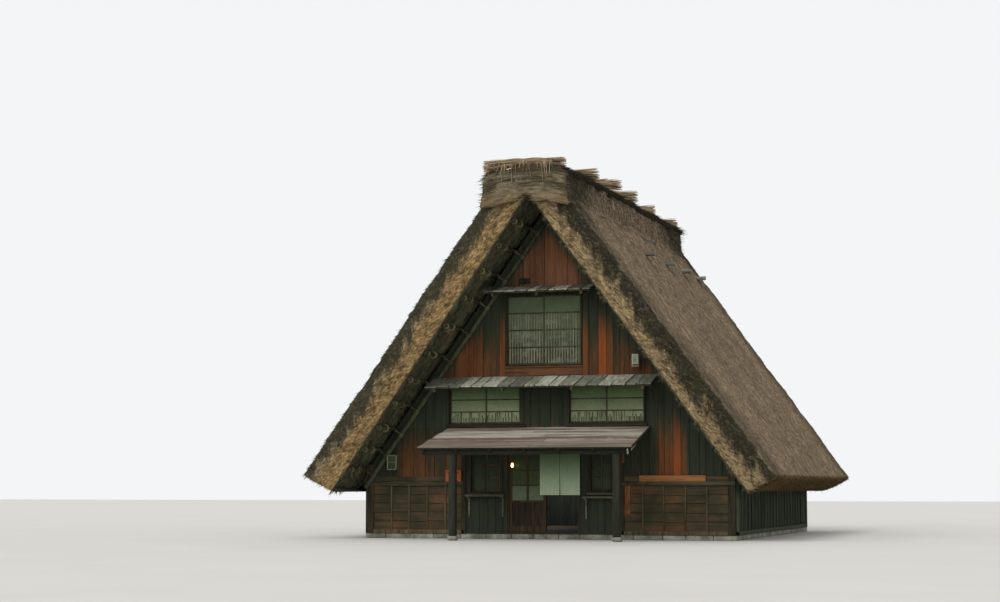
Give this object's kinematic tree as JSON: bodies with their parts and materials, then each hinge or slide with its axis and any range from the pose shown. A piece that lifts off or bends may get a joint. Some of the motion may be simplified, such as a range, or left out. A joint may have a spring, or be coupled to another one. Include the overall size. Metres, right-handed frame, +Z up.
{
  "type": "traditional thatched farmhouse with steep gable roof and porch",
  "caption": "Steep thatched farmhouse: board gable front, side walls under deep eaves, thick ridge, board roofs over windows, porch and sliding door leaves.",
  "frame": {"origin": "centre of the footprint of the whole house at ground level", "axes": "+X to the right seen from the front gable, +Y from the front gable to the back, +Z up"},
  "size_m": [11.7248, 13.4, 9.2311],
  "materials": {
    "thatch": "weathered reed thatch, rough cut faces",
    "straw": "fresh straw rolls, loose ends",
    "pole_timber": "smoked round poles",
    "wall_boards": "old sawn boards, dark red-brown to near black",
    "grey_timber": "weathered grey timber",
    "weathered_boards": "silver-grey lapped boards",
    "roof_sheet": "faded lapped sheet, rust tinged",
    "floor_boards": "worn floor boards",
    "window_wood": "brown window frames with glass",
    "door_wood": "dark glazed door leaves",
    "curtain_cloth": "plain pale green cotton",
    "sign_wood": "oiled orange-brown plank",
    "dark_iron": "dark painted iron",
    "lamp_glass": "frosted bulb on a dark arm",
    "red_enamel": "orange-red enamel, worn",
    "stone": "rough grey stone and mortar"
  },
  "bodies": {
    "house": {"back_gable_lower": "wall_boards", "back_gable_upper": "wall_boards", "back_wall": "wall_boards", "back_window_second_left": "window_wood", "back_window_second_right": "window_wood", "back_window_third": "window_wood", "belt_rail_left": "grey_timber", "belt_rail_right": "grey_timber", "curtain_rod": "dark_iron", "entrance_curtain": "curtain_cloth", "entrance_frame": "grey_timber", "entrance_lamp": "lamp_glass", "flood_lamp": "dark_iron", "front_gable_lower": "wall_boards", "front_gable_upper": "wall_boards", "front_wall_left": "wall_boards", "front_wall_over_door": "wall_boards", "front_wall_right": "wall_boards", "ground_floor": "floor_boards", "left_side_wall": "wall_boards", "letter_box": "red_enamel", "middle_board_roof": "weathered_boards", "name_board": "sign_wood", "porch_frame": "grey_timber", "porch_post_left": "grey_timber", "porch_post_right": "grey_timber", "porch_roof": "roof_sheet", "porch_stone_left": "stone", "porch_stone_right": "stone", "ridge_bundle_1": "straw", "ridge_bundle_2": "straw", "ridge_bundle_3": "straw", "ridge_bundle_4": "straw", "ridge_bundle_5": "straw", "ridge_bundle_6": "straw", "ridge_cap": "thatch", "ridge_tie_rod_1": "pole_timber", "ridge_tie_rod_2": "pole_timber", "ridge_tie_rod_3": "pole_timber", "ridge_tie_rod_4": "pole_timber", "right_side_wall": "wall_boards", "roof_frame_left": "pole_timber", "roof_frame_right": "pole_timber", "second_floor": "floor_boards", "stone_footing": "stone", "thatch_left": "thatch", "thatch_right": "thatch", "third_floor": "floor_boards", "upper_board_roof": "weathered_boards", "wall_lantern": "dark_iron", "window_ground_left": "window_wood", "window_ground_right": "window_wood", "window_second_left": "window_wood", "window_second_right": "window_wood", "window_third": "window_wood"},
    "outer_leaf": {"door_leaf_outer": "door_wood"},
    "inner_leaf": {"door_leaf_inner": "door_wood"}
  },
  "joints": [
    {"name": "outer_leaf_slide", "type": "slide", "parent": "house", "child": "outer_leaf", "axis": [1, 0, 0], "range_m": [0, 0.804]},
    {"name": "inner_leaf_slide", "type": "slide", "parent": "house", "child": "inner_leaf", "axis": [1, 0, 0], "range_m": [0, 0.804]}
  ]
}
